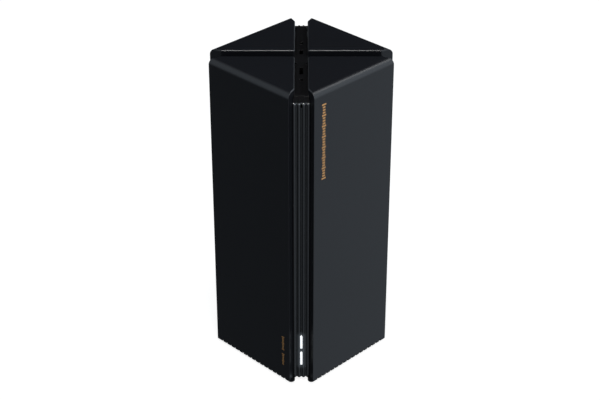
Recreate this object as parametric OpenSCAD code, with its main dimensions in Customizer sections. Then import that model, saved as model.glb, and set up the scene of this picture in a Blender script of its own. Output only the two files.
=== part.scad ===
// Mesh wifi node: a square tower whose four corners open into ribbed channels.
// The lit front corner points to -Y and the rear corner with the sockets to +Y.
// The origin is at the centre of the base, on the plane that the feet stand on.

/* [Body] */
// Width of one flat side, measured to the corners the sides would meet at
side_w = 77; // [76:0.5:80]
// Height of the outer shell, without the feet
shell_h = 177; // [170:1:190]
// Height of the feet below the shell's lower edge
foot_h = 1; // [0.8:0.1:1.2]
// Thickness of the panels' walls
wall = 2.2; // [1.8:0.1:2.4]
// Radius along the top edge of each flat side
top_r = 3.5; // [2.5:0.1:4]
// Height of the full, round toes at the lower corners of each panel
toe_h = 0.7; // [0.4:0.1:0.7]

/* [Corner channels] */
// Half the width of the channels that part the four panels
groove_v = 3.4; // [3.3:0.05:3.6]
// Distance from the centre at which a channel starts to widen
flare_u = 41.8; // [41.4:0.1:42.2]
// How much wider the channel is at the flat sides, on each side
flare_v = 3; // [2.6:0.1:3.2]
// Depth of the cross-shaped grille below the top face
cross_depth = 3.5; // [3:0.1:4]
// Spacing of the four ridges on each corner strip
rib_pitch = 2.4; // [2.3:0.05:2.45]
// Radius of one ridge
rib_r = 1.05; // [0.9:0.05:1.1]
// Distance from the centre to the axis of the ridges
rib_u = 43.35; // [43.2:0.05:43.4]

/* [Lower edge] */
// Number of teeth along the lower edge of one panel
teeth = 15; // [9:2:15]
// Spacing of the teeth
tooth_pitch = 3.36; // [3:0.02:3.4]
// Width of the notch between two teeth
notch_w = 1.3; // [0.8:0.1:1.6]
// Height of the notches
notch_h = 1.5; // [1:0.1:2]

/* [Status windows] */
// Width of the two lit windows
window_w = 1.2; // [1.2:0.1:1.5]
// Height of the two lit windows
window_h = 8.2; // [7:0.1:9]
// Height of the lower window's centre above the feet
window_z = 14.6; // [14:0.1:16]
// Distance between the two windows' centres
window_pitch = 10.85; // [10.5:0.05:12]
// How far the windows stand in front of the ridges' centre lines
window_proud = 0.85; // [0.4:0.05:0.9]

/* [Sockets] */
// Number of network sockets
jacks = 3; // [3:1:3]
// Spacing of the network sockets
jack_pitch = 17; // [16.8:0.1:17.2]
// Height of the lowest network socket's centre above the feet
jack_z = 34; // [33.5:0.5:34.5]
// Height of the power socket's centre above the feet
dc_z = 17; // [16:0.5:18]
// Radius of the power socket's centre pin
dc_pin_r = 1.05; // [0.8:0.05:1.25]
// Radius of the power socket's bore
dc_bore_r = 3.1; // [2.8:0.1:3.3]
// Height of the pairing button's centre above the feet
button_z = 82; // [81.5:0.5:82.5]
// Radius of the pairing button
button_r = 3; // [2.6:0.1:3.2]
// Height of the reset pinhole above the feet
reset_z = 90.5; // [90:0.5:91]

/* [Hidden] */

$fn = 64;
play = 0.2;
root2 = sqrt(2);
// How far parts that are joined reach into each other
lap = 0.1;
// Gap between pieces that rest on each other
seat = 0.05;

black = [0.075, 0.08, 0.09];
soft_black = [0.055, 0.058, 0.065];
lit = [0.95, 0.97, 1];
pcb_green = [0.05, 0.22, 0.13];
metal = [0.72, 0.73, 0.75];
gold = [0.8, 0.62, 0.28];
chip_black = [0.11, 0.11, 0.12];
pad_blue = [0.45, 0.6, 0.72];
paper = [0.82, 0.82, 0.8];
rubber = [0.12, 0.12, 0.125];
natural = [0.8, 0.78, 0.7];
phosphor = [0.95, 0.9, 0.6];
ribbon = [0.85, 0.72, 0.4];
sleeve = [0.2, 0.2, 0.21];

face_d = side_w / 2;
base_z = foot_h;
top_z = foot_h + shell_h;
inner_d = face_d - wall;
foot_ease = 0.8;
groove_ease = 1;

// Channel: the flare ends on the flat side
flare_end_v = groove_v + flare_v;
flare_end_u = face_d * root2 - flare_end_v;
flare_slope = flare_v / (flare_end_u - flare_u);
return_u = 37;
return_v = groove_v + wall;
return_z = top_z - 7;

// Chassis: an eight-sided tube just inside the panels
chassis_d = inner_d - 0.3;
chassis_u = return_u - 0.4;
chassis_wall = 1.5;
chassis_z = base_z + 3.6;
chassis_top = return_z - 0.3;
chassis_ceiling = chassis_top - 1.8;
inside_d = chassis_d - chassis_wall;
inside_u = chassis_u - chassis_wall;
boss_h = 12;
vent_len = 4;
vent_w = 4.4;

// Hooks that hang each panel on the chassis
hook_y = 10;
hook_w = 8;
hook_t = 2;
hook_drop = 2;
lip_t = 1;
hook_side_gap = 0.3;
hook_heights = [38, 122];

// Grille and strips
cross_z = top_z - cross_depth;
strip_v = groove_v - play;
shoulder_z = top_z - 6.5;
shoulder_u = 42.8;
lip_u = rib_u + 0.85;
lip_h = 0.3;
grille_t = 1.5;
valley_v = 0.9;
valley_depth = 1.1;
side_valley_v = 2.45;
side_valley_u = [4.5, 40];
side_valley_depth = 0.7;
strip_low = base_z + 0.8;
strip_top = shoulder_z - play;
rib_top = strip_top - rib_r;
plate_back_u = 41.2;
plate_front_u = 43.2;
web_t = 1.2;
peg_r = 1.4;
peg_gap = 0.1;
stake_r = 2.3;
stake_t = 1;
slot_half = 0.5;
slot_drop = [0.8, 3.1];
web_inset = 1;
peg_heights = [52, 108, 160];
rear_peg_heights = [108, 160];

// Socket plate set into the rear corner
io_low = base_z + 5.5;
io_top = 96;
io_half = 12.5;
io_y = 41.4;
io_t = 1.7;
io_back = io_y - io_t;
cut_half = io_half + play;
io_board_x = 8;
io_peg_x = 10.6;
io_peg_boss = 0.5;
io_peg_heights = [io_low + 5, io_top - 4];

// Base
plate_low = base_z + 0.8;
plate_top = chassis_z - play;
foot_u = 29;
foot_r = 5.5;
foot_seat = 0.5;
screw_r = 1.2;
thread_gap = 0.05;
boss_at = 22;
boss_r = 3.5;
counterbore_r = 2.6;
counterbore = 0.95;
base_head_r = 2.3;
base_head_h = 1.3;
base_screw_len = 9;
base_vent_r = 20.5;
base_vent_len = 6.2;
base_vent_w = 2;
label_size = [30, 16, 0.15];
label_recess = 0.25;
cross_w = 0.6;

// Light board and the guides in front of it
led_boss_x = 3.2;
led_boss_z = 35;
led_boss_r = 1.6;
led_board_y = -32.4;
led_board_z = [8, 38];
led_board_w = 9.6;
led_board_t = 1;
led_size = 2.8;
led_h = 0.8;
led_screw_r = 0.9;
ribbon_t = 0.3;
ribbon_w = 6;
ribbon_z = 18;

// Main board stands upright, parallel to the YZ plane
board_t = 1.6;
board_x = -8.4;
board_face = board_x + board_t;
board_y = [-32, 34];
board_z = [8, 160];
rail_t = 1;
rail_grip = 1;
bracket_t = 2.8;
bracket_y = 22;
bracket_top = 18;
bracket_screw_y = 15;
bracket_screw_z = 12;
board_hole_gap = 0.2;
pan_head_r = 2.2;
pan_head_h = 1.2;

// Sockets
jack_w = 16;
jack_h = 13.4;
jack_len = 21;
jack_gap = 0.15;
jack_y = io_y - 0.1;
shield_t = 0.3;
plug_w = 11.9;
plug_x = [-3.7, 3.5];
plug_depth = 13.5;
latch_w = 6.4;
latch_x = 5.2;
contact_w = 0.4;
contact_pitch = 1.1;
dc_x = -1.2;
dc_rim = 0.7;
dc_half = 4.6;
dc_side = 5;
dc_pin_foot = 0.35;
dc_front = io_back - play;
dc_len = 13.5;
dc_depth = 9.2;
dc_floor = dc_front - dc_depth - 0.3;
dc_back = dc_front - dc_len;

// Buttons and the switches behind them
button_proud = 0.7;
button_flange = 0.9;
button_dish = 0.25;
reset_r = 0.8;
switch_size = 6;
switch_depth = 4;
switch_x = board_face + 3.1;
switch_front = 34;
plunger_r = 1.6;
pairing_reach = 1.3;
reset_reach = 1;

// Heatsinks
sink_y = [-27, 17];
sink_z = [42, 150];
sink_gap = 2.6;
sink_base = 2.5;
fin_t = 1.4;
fin_margin = 10;
sink_hole_y = [-23.6, 13.6];
sink_hole_z = [46, 146];
sink_fins = 8;
front_fin_h = 16;
rear_fin_h = 6;
rear_sink_x = board_x - 1.6;

// Chips and cans on the main board, each as [y, z] and [width, height]
processor_at = [-2, 97];
radio_5g_at = [-6, 130];
radio_2g_at = [-6, 63];
can_size = [30, 28];
radio_can_size = [34, 24];
can_h = 1.9;
can_t = 0.25;
pad_gap = 0.02;
radio_pad = [26, 18];
processor_pad = [24, 24];

// Antennas and their cables
antenna_low = 124;
antenna_w = 11;
antenna_t = 0.8;
antenna_gap = 0.1;
antenna_slit = 1.2;
cable_r = 0.45;
cable_bend_r = 4;
cable_level = 165;
cable_lap = 0.3;
plug_r = 1.3;
plug_half = 0.6;
antenna_plug_y = 24;
antenna_plug_z = 155;

// ---------- shared shapes ----------

// A point given along a corner's diagonal and across it, in one panel's frame
function across(u, v) = [(u + v) / root2, (u - v) / root2];
function flipped(p) = [p[0], -p[1]];

// A box from its low corner to its high corner
module span(low, high) {
    translate(low) cube(high - low);
}

// A panel's frame has its flat side at +X; quarter gives the side's direction
module on_side(quarter) {
    rotate(quarter) children();
}

// A strip's frame has its corner at +X
module on_corner(turn) {
    rotate(turn) children();
}

module eight_sided(side_d, corner_d) {
    intersection() {
        rotate(45) square(2 * side_d, center = true);
        square(2 * corner_d, center = true);
    }
}

// A slot with round ends, lying along Y, upright in Z
module stadium_bar(w, h, y_low, y_high, z) {
    translate([0, y_high, z]) rotate([90, 0, 0]) linear_extrude(y_high - y_low) {
        square([w, h - w], center = true);
        translate([0, (h - w) / 2]) circle(w / 2);
        translate([0, -(h - w) / 2]) circle(w / 2);
    }
}

// A round bar along Y
module bar_y(r, y_low, y_high, x = 0, z = 0) {
    translate([x, y_high, z]) rotate([90, 0, 0]) cylinder(r = r, h = y_high - y_low);
}

// A round bar along X
module bar_x(r, x_low, x_high, y = 0, z = 0) {
    translate([x_low, y, z]) rotate([0, 90, 0]) cylinder(r = r, h = x_high - x_low);
}

// ---------- panels ----------

// What a rounding of the given radius takes off a corner that points to +X and +Y
module outside_corner(r) {
    difference() {
        square(r + 1);
        circle(r);
    }
}

module panel_outline() {
    near = across(flare_u, groove_v);
    far = across(flare_end_u, flare_end_v);
    polygon([[groove_v * root2, 0], near, far, flipped(far), flipped(near)]);
}

// Section across the flat side: round at the top, slightly eased at the foot
module side_section() {
    difference() {
        square([face_d, shell_h]);
        translate([face_d - top_r, shell_h - top_r]) outside_corner(top_r);
        translate([face_d - foot_ease, foot_ease]) mirror([0, 1]) outside_corner(foot_ease);
    }
}

// Section across a channel's wall: the top edge is eased
module groove_section() {
    difference() {
        translate([groove_v, -1]) square([side_w, shell_h + 1]);
        translate([groove_v + groove_ease, shell_h - groove_ease]) mirror([1, 0])
            outside_corner(groove_ease);
    }
}

// Plan of the toes: the channels' walls run on to the flat side and end in a round nose
module toe_outline() {
    corner_u = face_d * root2 - groove_v;
    nose_r = (corner_u - flare_end_u) / root2;
    nose_u = corner_u - nose_r * (1 + root2);
    nose = across(nose_u, groove_v + nose_r);
    corner = across(corner_u, groove_v);
    back = across(return_u, groove_v);
    difference() {
        polygon([back, corner, flipped(corner), flipped(back)]);
        for (s = [0, 1]) mirror([0, s]) difference() {
            polygon([nose, across(nose_u, groove_v - 1), across(corner_u + 3, groove_v - 1),
                [nose[0] + nose_r + 1, nose[1]]]);
            translate(nose) circle(nose_r);
        }
    }
}

module panel_blank() {
    intersection() {
        union() {
            linear_extrude(shell_h) panel_outline();
            linear_extrude(toe_h) toe_outline();
        }
        rotate([90, 0, 0]) linear_extrude(side_w, center = true) side_section();
        rotate(-45) rotate([90, 0, 0]) linear_extrude(2 * side_w, center = true) groove_section();
        rotate(45) rotate([90, 0, 0]) linear_extrude(2 * side_w, center = true) groove_section();
    }
}

// The hollow: full width low down, clear of the channel walls near the top
module panel_hollow() {
    inner = across(return_u, 0);
    step = across(return_u, return_v);
    last = across(inner_d * root2 - return_v, return_v);
    translate([0, 0, -1]) linear_extrude(return_z - base_z + 1)
        polygon([[0, 0], inner, step, last, flipped(last), flipped(step), flipped(inner)]);
    translate([0, 0, 1]) linear_extrude(shell_h - wall - 1)
        polygon([[return_v * root2, 0], last, flipped(last)]);
}

module panel_notches() {
    for (i = [0:teeth]) translate([inner_d - 1, (i - teeth / 2) * tooth_pitch - notch_w / 2, -1])
        cube([wall + 2, notch_w, notch_h + 1]);
}

// Hook with a lip that drops behind the chassis wall
module panel_hooks() {
    lip_back = inside_d - play - lip_t;
    for (z = hook_heights, s = [-1, 1]) translate([0, s * hook_y - hook_w / 2, z - base_z]) {
        span([lip_back, 0, 0], [inner_d + lap, hook_w, hook_t]);
        span([lip_back, 0, -hook_drop], [lip_back + lip_t, hook_w, hook_t]);
    }
}

module panel(quarter) {
    translate([0, 0, base_z]) on_side(quarter) {
        difference() {
            panel_blank();
            panel_hollow();
            panel_notches();
        }
        panel_hooks();
    }
}

// Opening in the rear corner for the socket plate
module rear_cut() {
    span([-cut_half, chassis_u + play, io_low - play], [cut_half, face_d * root2, io_top + play]);
}

module front_left_panel() {
    color(soft_black) panel(-135);
}

module front_right_panel() {
    color(black) panel(-45);
}

module rear_left_panel() {
    color(black) difference() {
        panel(135);
        rear_cut();
    }
}

module rear_right_panel() {
    color(black) difference() {
        panel(45);
        rear_cut();
    }
}

// ---------- chassis ----------

module chassis_shell() {
    difference() {
        translate([0, 0, chassis_z]) linear_extrude(chassis_top - chassis_z)
            eight_sided(chassis_d, chassis_u);
        translate([0, 0, chassis_z - 1]) linear_extrude(chassis_ceiling - chassis_z + 1)
            eight_sided(inside_d, inside_u);
    }
}

// Windows for the panels' hooks
module hook_windows() {
    for (q = [45:90:315]) on_side(q) for (z = hook_heights, s = [-1, 1])
        translate([inside_d - 1, s * hook_y - hook_w / 2 - hook_side_gap, z - 0.1])
            cube([chassis_wall + 2, hook_w + 2 * hook_side_gap, hook_t + hook_drop + 0.5]);
}

module peg_holes() {
    for (turn = [-90, 0, 180], z = peg_heights) on_corner(turn)
        bar_x(peg_r + peg_gap, inside_u - 1, chassis_u + 1, 0, z);
    for (z = rear_peg_heights) on_corner(90) bar_x(peg_r + peg_gap, inside_u - 1, chassis_u + 1, 0, z);
    for (s = [-1, 1], z = io_peg_heights)
        bar_y(peg_r + peg_gap, inside_u - 1, chassis_u + 1, s * io_peg_x, z);
}

// Slots that let warm air out under the grille
module ceiling_vents() {
    for (turn = [0:90:270], u = [8:6:26]) rotate(turn)
        translate([u, -vent_w / 2, chassis_ceiling - 1]) cube([vent_len, vent_w, 4]);
}

module screw_bosses() {
    for (sx = [-1, 1], sy = [-1, 1]) translate([sx * boss_at, sy * boss_at, chassis_z])
        cylinder(r = boss_r, h = boss_h);
}

// Ribs that hold the front and rear edges of the upright board
module board_rails() {
    low = chassis_z + 1.5;
    high = chassis_ceiling + 0.5;
    out = inside_u + 0.5;
    left = board_x - play - rail_t;
    right = board_face + play;
    front_edge = board_y[0] + rail_grip;
    rear_edge = board_y[1] - 3 * rail_grip;
    span([left, -out, low], [left + rail_t, front_edge, high]);
    span([right, -out, low], [right + rail_t, front_edge, high]);
    span([left, rear_edge, low], [left + rail_t, out, high]);
    span([right, rear_edge, io_top + 4], [right + rail_t, out, high]);
}

module led_bosses() {
    for (s = [-1, 1])
        bar_y(led_boss_r, -inside_u - 0.5, led_board_y - seat, s * led_boss_x, led_boss_z);
}

module chassis() {
    color(black) difference() {
        union() {
            chassis_shell();
            screw_bosses();
            board_rails();
            led_bosses();
        }
        hook_windows();
        peg_holes();
        ceiling_vents();
        for (sx = [-1, 1], sy = [-1, 1]) translate([sx * boss_at, sy * boss_at, chassis_z - 1])
            cylinder(r = screw_r + thread_gap, h = base_screw_len + 1.5);
        for (i = [0, 1]) stadium_bar(window_w + 0.6, window_h + 0.6, -chassis_u - 1, -inside_u + 1,
            window_z + i * window_pitch);
        for (s = [-1, 1])
            bar_y(led_screw_r + thread_gap, -inside_u + 0.1, -inside_u + 5, s * led_boss_x, led_boss_z);
        span([board_x - 0.1, inside_u - 1, io_low + 2], [io_board_x, chassis_u + 1, io_top - 0.5]);
    }
}

// ---------- grille and strips ----------

// Plan of a channel's filling: follows the channel's walls with a small gap
module channel_plan(u_low, u_high) {
    wide = groove_v - play + (u_high - flare_u) * flare_slope;
    polygon([[u_low, -strip_v], [flare_u, -strip_v], [u_high, -wide], [u_high, wide], [flare_u, strip_v],
        [u_low, strip_v]]);
}

// Outer end of a grille arm: slopes down to the strip's ridges
module shoulder() {
    intersection() {
        translate([0, 0, shoulder_z - 1]) linear_extrude(10) channel_plan(return_u, lip_u);
        rotate([90, 0, 0]) linear_extrude(20, center = true) polygon([
            [return_u, shoulder_z], [lip_u, shoulder_z], [lip_u, shoulder_z + lip_h],
            [shoulder_u, cross_z], [return_u, cross_z]
        ]);
    }
}

// Two low ridges that run down the shoulder's slope
module shoulder_ribs() {
    proud = 0.25;
    for (s = [-1, 1]) translate([0, s * rib_pitch / 2, 0]) rotate([90, 0, 0])
        linear_extrude(0.9, center = true) polygon([
            [lip_u - 0.8, shoulder_z + 0.7], [lip_u + 0.05, shoulder_z + 0.7],
            [shoulder_u + 0.2, cross_z + proud], [shoulder_u - 0.7, cross_z + proud],
            [shoulder_u - 0.7, cross_z - 0.6]
        ]);
}

// One arm of the cross, with a slot through it, a recess behind the slot and two side valleys
module grille_arm(through, recess) {
    web_v = strip_v - web_t;
    difference() {
        union() {
            span([0, -strip_v, cross_z - grille_t], [return_u + lap, strip_v, cross_z]);
            for (s = [0, 1]) mirror([0, s, 0])
                span([web_v, web_v, chassis_top + 0.1], [return_u + lap, strip_v, cross_z]);
            shoulder();
            shoulder_ribs();
        }
        span([through[0], -valley_v, cross_z - 3], [through[1], valley_v, cross_z + 1]);
        span([recess[0], -valley_v, cross_z - valley_depth], [recess[1], valley_v, cross_z + 1]);
        for (s = [0, 1]) mirror([0, s, 0])
            span([side_valley_u[0], side_valley_v, cross_z - side_valley_depth],
                [side_valley_u[1], strip_v + 1, cross_z + 1]);
    }
}

module top_grille() {
    color(soft_black) {
        difference() {
            union() {
                for (turn = [-90, 0, 180]) on_corner(turn) grille_arm([10, 18], [23.5, 40]);
                on_corner(90) grille_arm([6.3, 13.8], [13.7, 21.3]);
            }
            for (turn = [0:90:270]) rotate(turn)
                span([strip_v - web_t, web_t - strip_v, chassis_top - 1],
                    [strip_v + 1, strip_v - web_t, cross_z - grille_t]);
        }
        span([-0.85, 22.6, cross_z - lap], [0.85, 28.8, cross_z + 0.25]);
    }
}

// One corner strip: a ridged front plate on two webs, held by staked pegs
module strip(low, pegs) {
    out_u = rib_u + rib_r + 0.01;
    wide = strip_v + (out_u - flare_u) * flare_slope;
    intersection() {
        union() {
            translate([0, 0, low]) linear_extrude(strip_top - low) channel_plan(plate_back_u, plate_front_u);
            for (i = [-1.5:1:1.5]) translate([rib_u, i * rib_pitch, low]) {
                cylinder(r = rib_r, h = rib_top - low);
                translate([0, 0, rib_top - low]) sphere(rib_r);
            }
        }
        translate([0, 0, low]) linear_extrude(strip_top - low) polygon([
            [plate_back_u, -strip_v], [flare_u, -strip_v], [out_u, -wide], [out_u, wide],
            [flare_u, strip_v], [plate_back_u, strip_v]
        ]);
    }
    for (s = [0, 1]) mirror([0, s, 0])
        span([return_u, strip_v - web_t, low + web_inset],
            [plate_back_u + lap, strip_v, strip_top - web_inset]);
    for (z = pegs) {
        bar_x(peg_r, inside_u - play, plate_back_u + lap, 0, z);
        bar_x(stake_r, inside_u - play - stake_t, inside_u - play, 0, z);
    }
}

module front_strip() {
    color(black) difference() {
        on_corner(-90) strip(strip_low, peg_heights);
        for (i = [0, 1]) stadium_bar(window_w + play, window_h + play, -rib_u - 2, -return_u + 1,
            window_z + i * window_pitch);
        span([-slot_half, -rib_u - 2, strip_top - slot_drop[1]],
            [slot_half, 1 - plate_back_u, strip_top - slot_drop[0]]);
    }
}

module left_strip() {
    color(black) on_corner(180) strip(strip_low, peg_heights);
}

module right_strip() {
    color(black) on_corner(0) strip(strip_low, peg_heights);
}

module rear_strip() {
    color(black) on_corner(90) strip(io_top + 0.4, rear_peg_heights);
}

// ---------- socket plate ----------

module io_plate() {
    color(soft_black) difference() {
        union() {
            span([-io_half, io_back, io_low], [io_half, io_y, io_top]);
            span([-strip_v, io_back, strip_low], [strip_v, io_y, io_low + 1]);
            for (s = [-1, 1], z = io_peg_heights) {
                bar_y(peg_r + io_peg_boss, chassis_u + 0.1, io_back + lap, s * io_peg_x, z);
                bar_y(peg_r, inside_u - play, io_back, s * io_peg_x, z);
            }
        }
        for (i = [0:jacks - 1]) translate([0, 0, jack_z + i * jack_pitch])
            span([-jack_h / 2 - jack_gap, io_back - 1, -jack_w / 2 - jack_gap],
                [jack_h / 2 + jack_gap, io_y + 1, jack_w / 2 + jack_gap]);
        bar_y(dc_bore_r + dc_rim, io_back - 1, io_y + 1, dc_x, dc_z);
        bar_y(button_r + 0.1, io_back - 1, io_y + 1, 0, button_z);
        bar_y(reset_r, io_back - 1, io_y + 1, switch_x, reset_z);
    }
}

// ---------- base ----------

module base_vents() {
    for (q = [0:90:270], a = [18:9:72]) rotate(q + a)
        translate([base_vent_r, -base_vent_w / 2, plate_low - 1])
            cube([base_vent_len, base_vent_w, plate_top - plate_low + 1.05]);
}

module base_plate() {
    color(soft_black) difference() {
        union() {
            translate([0, 0, plate_low]) linear_extrude(plate_top - plate_low)
                eight_sided(chassis_d, chassis_u);
            span([board_x - play - bracket_t, -bracket_y, plate_top - lap],
                [board_x - play, bracket_y, bracket_top]);
        }
        for (turn = [0:90:270]) rotate(turn) translate([foot_u, 0, plate_low - 1])
            cylinder(r = foot_r + play, h = 1 + foot_seat);
        for (sx = [-1, 1], sy = [-1, 1]) translate([sx * boss_at, sy * boss_at, plate_low - 1]) {
            cylinder(r = screw_r + 0.3, h = 8);
            cylinder(r = counterbore_r, h = 1 + counterbore);
        }
        for (s = [-1, 1])
            bar_x(screw_r + thread_gap, board_x - 4, board_x, s * bracket_screw_y, bracket_screw_z);
        span([-label_size[0] / 2 - play, -label_size[1] / 2 - play, plate_low - 1],
            [label_size[0] / 2 + play, label_size[1] / 2 + play, plate_low + label_recess]);
        base_vents();
    }
}

module foot(turn) {
    color(rubber) rotate(turn) translate([foot_u, 0, 0])
        cylinder(r = foot_r, h = plate_low + foot_seat - seat);
}

module foot_front() {
    foot(-90);
}

module foot_rear() {
    foot(90);
}

module foot_left() {
    foot(180);
}

module foot_right() {
    foot(0);
}

module rating_label() {
    low = plate_low + label_recess - seat - label_size[2];
    color(paper) translate([-label_size[0] / 2, -label_size[1] / 2, low]) cube(label_size);
}

// A pan-head screw along +Z with its head below z = 0 and a cross recess
module pan_screw(shank_r, head_r, head_h, len) {
    difference() {
        union() {
            translate([0, 0, -head_h]) cylinder(r = head_r, h = head_h);
            cylinder(r = shank_r, h = len);
        }
        for (a = [0, 90]) rotate(a) translate([-head_r * 0.6, -cross_w / 2, -head_h - 1])
            cube([head_r * 1.2, cross_w, 1 + cross_w]);
    }
}

module base_screws() {
    color(metal) for (sx = [-1, 1], sy = [-1, 1])
        translate([sx * boss_at, sy * boss_at, plate_low + counterbore - seat])
            pan_screw(screw_r, base_head_r, base_head_h, base_screw_len);
}

// ---------- status lights ----------

module light_guide(i) {
    color(lit) stadium_bar(window_w, window_h, -rib_u - window_proud, led_board_y - led_h - 3 * seat,
        window_z + i * window_pitch);
}

module upper_light_guide() {
    light_guide(1);
}

module lower_light_guide() {
    light_guide(0);
}

module led(i) {
    front = led_board_y - seat - led_h;
    z = window_z + i * window_pitch;
    color(phosphor) difference() {
        translate([-led_size / 2, front, z - led_size / 2]) cube([led_size, led_h, led_size]);
        bar_y(1, front - 1, front + 0.15, 0, z);
    }
}

module upper_led() {
    led(1);
}

module lower_led() {
    led(0);
}

module led_board() {
    color(pcb_green) difference() {
        span([-led_board_w / 2, led_board_y, led_board_z[0]],
            [led_board_w / 2, led_board_y + led_board_t, led_board_z[1]]);
        for (s = [-1, 1])
            bar_y(led_screw_r + board_hole_gap, led_board_y - 1, led_board_y + 2, s * led_boss_x, led_boss_z);
    }
}

module led_board_screws() {
    back = led_board_y + led_board_t + seat;
    color(metal) for (s = [-1, 1]) translate([s * led_boss_x, back, led_boss_z])
        rotate([90, 0, 0]) pan_screw(led_screw_r, 1.7, 0.9, 3);
}

// Flat ribbon from the light board to the main board
module led_ribbon_cable() {
    near = led_board_y + led_board_t + seat;
    far = near + 4;
    bend_x = -3.3;
    end_x = board_face + seat;
    color(ribbon) translate([0, 0, ribbon_z]) linear_extrude(ribbon_w) polygon([
        [bend_x, near], [1, near], [1, near + ribbon_t], [bend_x + ribbon_t, near + ribbon_t],
        [bend_x + ribbon_t, far + ribbon_t], [end_x, far + ribbon_t], [end_x, far], [bend_x, far]
    ]);
}

// ---------- buttons ----------

module pairing_button() {
    color(soft_black) difference() {
        union() {
            bar_y(button_r, io_back - 0.6, io_y + button_proud, 0, button_z);
            bar_y(button_r + button_flange, io_back - 1.2, io_back - 0.1, 0, button_z);
            bar_y(0.8, switch_front + pairing_reach + seat, io_back - 1, switch_x + 0.7, button_z);
        }
        bar_y(button_r - button_flange, io_y + button_proud - button_dish, io_y + 2, 0, button_z);
    }
}

module switch_body(z) {
    color(chip_black) difference() {
        span([board_face + seat, switch_front - switch_depth, z - switch_size / 2],
            [board_face + seat + switch_size, switch_front, z + switch_size / 2]);
        bar_y(plunger_r + 0.1, switch_front - 2.5, switch_front + 1, switch_x, z);
    }
}

module switch_plunger(z, out) {
    color(natural) bar_y(plunger_r, switch_front - 1.8, switch_front + out, switch_x, z);
}

module pairing_switch_body() {
    switch_body(button_z);
}

module pairing_switch_plunger() {
    switch_plunger(button_z, pairing_reach);
}

module reset_switch_body() {
    switch_body(reset_z);
}

module reset_switch_plunger() {
    switch_plunger(reset_z, reset_reach);
}

// ---------- main board ----------

module board_hole(y, z) {
    bar_x(screw_r + board_hole_gap, board_x - 1, board_face + 1, y, z);
}

module main_board() {
    color(pcb_green) difference() {
        span([board_x, board_y[0], board_z[0]], [board_face, board_y[1], board_z[1]]);
        for (y = sink_hole_y, z = sink_hole_z) board_hole(y, z);
        for (s = [-1, 1]) board_hole(s * bracket_screw_y, bracket_screw_z);
    }
}

module board_screws() {
    color(metal) for (s = [-1, 1]) translate([board_face + seat, s * bracket_screw_y, bracket_screw_z])
        rotate([0, -90, 0]) pan_screw(screw_r, pan_head_r, pan_head_h, board_t + bracket_t - play);
}

// ---------- sockets ----------

module jack_shield(i) {
    color(metal) translate([0, 0, jack_z + i * jack_pitch]) difference() {
        span([-jack_h / 2, jack_y - jack_len, -jack_w / 2], [jack_h / 2, jack_y, jack_w / 2]);
        span([-jack_h / 2 + shield_t, jack_y - jack_len + shield_t, -jack_w / 2 + shield_t],
            [jack_h / 2 - shield_t, jack_y + 1, jack_w / 2 - shield_t]);
    }
}

module jack_insert(i) {
    gap = shield_t + 0.05;
    color(chip_black) translate([0, 0, jack_z + i * jack_pitch]) difference() {
        span([-jack_h / 2 + gap, jack_y - jack_len + gap, -jack_w / 2 + gap],
            [jack_h / 2 - gap, jack_y - 0.3, jack_w / 2 - gap]);
        span([plug_x[0], jack_y - plug_depth, -plug_w / 2], [plug_x[1], jack_y + 1, plug_w / 2]);
        span([plug_x[1] - 1, jack_y - plug_depth + 3, -latch_w / 2], [latch_x, jack_y + 1, latch_w / 2]);
    }
}

module jack_contacts(i) {
    color(gold) translate([plug_x[0] + seat, 0, jack_z + i * jack_pitch]) for (c = [-3.5:1:3.5])
        translate([0, jack_y - plug_depth + seat, c * contact_pitch - contact_w / 2])
            linear_extrude(contact_w)
                polygon([[0, 0], [0.35, 0], [0.85, 4.5], [0.35, 8.6], [0, 8.6], [0.5, 4.5]]);
}

module jack_1_shield() {
    jack_shield(0);
}

module jack_1_insert() {
    jack_insert(0);
}

module jack_1_contacts() {
    jack_contacts(0);
}

module jack_2_shield() {
    jack_shield(1);
}

module jack_2_insert() {
    jack_insert(1);
}

module jack_2_contacts() {
    jack_contacts(1);
}

module jack_3_shield() {
    jack_shield(2);
}

module jack_3_insert() {
    jack_insert(2);
}

module jack_3_contacts() {
    jack_contacts(2);
}

// The socket's bore is blind; the centre pin's foot sits in a hole in its floor
module power_jack_body() {
    color(chip_black) difference() {
        span([board_face + seat, dc_back, dc_z - dc_half], [dc_x + dc_side, dc_front, dc_z + dc_half]);
        bar_y(dc_bore_r, dc_floor, dc_front + 1, dc_x, dc_z);
        bar_y(dc_pin_r + dc_pin_foot + seat, dc_back + 1, dc_front, dc_x, dc_z);
    }
}

module power_jack_pin() {
    color(metal) {
        bar_y(dc_pin_r, dc_floor - lap, dc_floor + dc_depth, dc_x, dc_z);
        bar_y(dc_pin_r + dc_pin_foot, dc_back + 1.1, dc_floor, dc_x, dc_z);
    }
}

// ---------- chips, cans and cooling ----------

// A flat piece on the board's face, from its centre and size along Y and Z
module on_board(y, z, wy, wz, low, high) {
    span([board_face + low, y - wy / 2, z - wz / 2], [board_face + high, y + wy / 2, z + wz / 2]);
}

module shield_can(at, size) {
    color(metal) difference() {
        on_board(at[0], at[1], size[0], size[1], seat, can_h);
        on_board(at[0], at[1], size[0] - 2 * can_t, size[1] - 2 * can_t, -1, can_h - can_t);
    }
}

module processor_chip() {
    color(chip_black) on_board(processor_at[0] - 5, processor_at[1], 15, 15, seat, 1.25);
}

module memory_chip() {
    color(chip_black) on_board(processor_at[0] + 8.5, processor_at[1], 8, 12, seat, 1.05);
}

module radio_chip_5g() {
    color(chip_black) on_board(radio_5g_at[0], radio_5g_at[1], 9, 9, seat, 1);
}

module radio_chip_2g() {
    color(chip_black) on_board(radio_2g_at[0], radio_2g_at[1], 7, 7, seat, 1);
}

module processor_shield_can() {
    shield_can(processor_at, can_size);
}

module radio_5g_shield_can() {
    shield_can(radio_5g_at, radio_can_size);
}

module radio_2g_shield_can() {
    shield_can(radio_2g_at, radio_can_size);
}

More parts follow.
